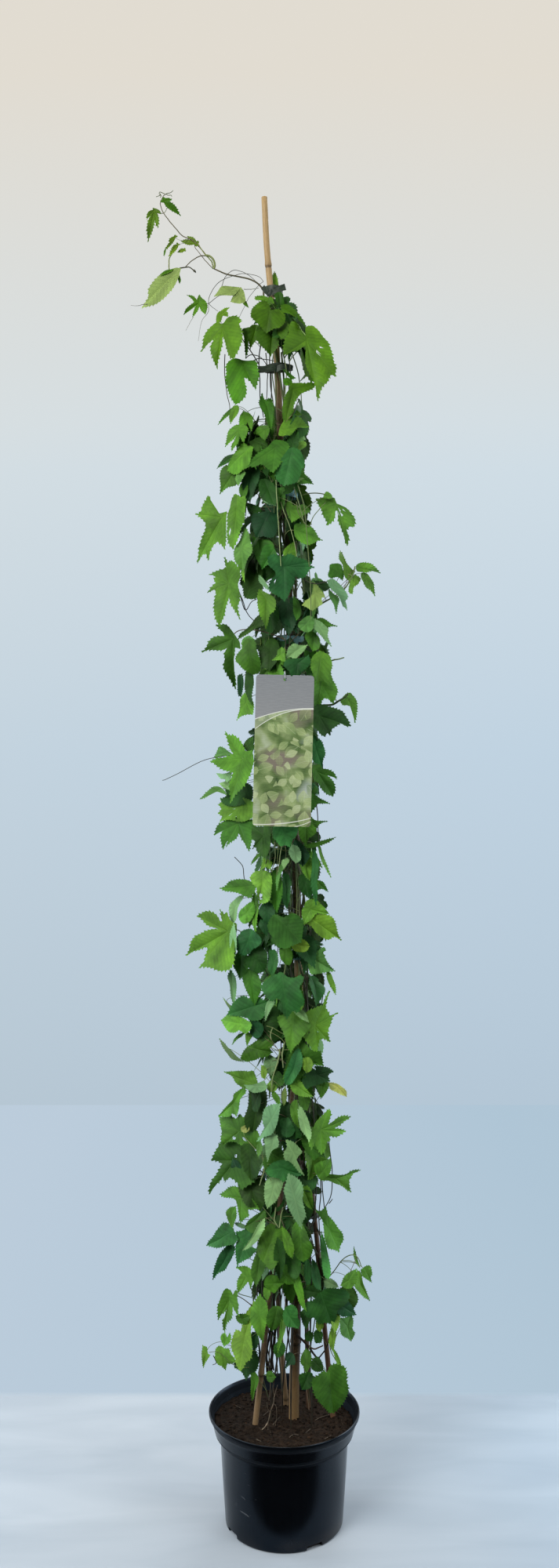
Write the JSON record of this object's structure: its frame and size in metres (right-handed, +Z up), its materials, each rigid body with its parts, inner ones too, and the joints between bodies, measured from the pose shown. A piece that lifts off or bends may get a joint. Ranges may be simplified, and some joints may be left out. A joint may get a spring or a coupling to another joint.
{
  "type": "potted hop bine",
  "caption": "Tall climbing hop plant trained up bamboo canes in a black nursery pot of soil, with a hanging plant label.",
  "frame": {"origin": "centre of the pot's flat underside", "axes": "+Z up along the canes, -Y towards the side the label hangs on"},
  "size_m": [0.4769, 0.28, 2.475],
  "materials": {
    "pot_plastic": "black moulded polypropylene, satin",
    "peat": "moist crumbly potting soil",
    "bamboo": "dry bamboo, tan, mottled brown lower down",
    "weathered_bamboo": "weathered red-brown bamboo",
    "tie_tape": "soft dark grey-green tape",
    "faded_tape": "soft tape, faded blue",
    "bine_stem": "rough green stem, darker and woody low down",
    "young_stem": "young green stem",
    "dead_stem": "dry pale wood",
    "hop_leaf": "rough, veined, green above and paler below",
    "young_leaf": "thin young leaf, pale green",
    "label_plastic": "printed thin plastic, semi-gloss",
    "label_strap": "thin translucent plastic strap"
  },
  "bodies": {
    "root": {"bine_1": "bine_stem", "bine_2": "bine_stem", "bine_3": "bine_stem", "bine_4": "bine_stem", "bine_5": "bine_stem", "cane_back": "weathered_bamboo", "cane_back_right": "weathered_bamboo", "cane_front_left": "weathered_bamboo", "cane_right": "weathered_bamboo", "label": "label_plastic", "label_loop": "label_strap", "main_cane": "bamboo", "old_stem": "dead_stem", "pot": "pot_plastic", "side_shoot_back_1": "hop_leaf", "side_shoot_back_2": "hop_leaf", "side_shoot_back_3": "hop_leaf", "side_shoot_back_4": "hop_leaf", "side_shoot_back_5": "hop_leaf", "side_shoot_back_6": "hop_leaf", "side_shoot_back_7": "hop_leaf", "side_shoot_back_8": "hop_leaf", "side_shoot_front_1": "hop_leaf", "side_shoot_front_2": "hop_leaf", "side_shoot_front_3": "hop_leaf", "side_shoot_front_4": "hop_leaf", "side_shoot_front_5": "hop_leaf", "side_shoot_front_6": "hop_leaf", "side_shoot_front_7": "hop_leaf", "side_shoot_front_8": "hop_leaf", "side_shoot_left_1": "hop_leaf", "side_shoot_left_2": "hop_leaf", "side_shoot_left_3": "hop_leaf", "side_shoot_left_4": "hop_leaf", "side_shoot_left_5": "hop_leaf", "side_shoot_left_6": "hop_leaf", "side_shoot_left_7": "hop_leaf", "side_shoot_left_8": "hop_leaf", "side_shoot_right_1": "hop_leaf", "side_shoot_right_2": "hop_leaf", "side_shoot_right_3": "hop_leaf", "side_shoot_right_4": "hop_leaf", "side_shoot_right_5": "hop_leaf", "side_shoot_right_6": "hop_leaf", "side_shoot_right_7": "hop_leaf", "side_shoot_right_8": "hop_leaf", "soil": "peat", "tie_chest": "faded_tape", "tie_low": "tie_tape", "tie_middle": "tie_tape", "tie_shoulder": "faded_tape", "tie_top": "tie_tape", "tie_upper": "tie_tape", "tip_leaf_folded": "young_leaf", "tip_leaf_large": "young_leaf", "tip_leaf_light": "young_leaf", "tip_leaf_lobed": "young_leaf", "tip_leaf_lower": "young_leaf", "tip_shoot": "young_stem"}
  },
  "joints": []
}
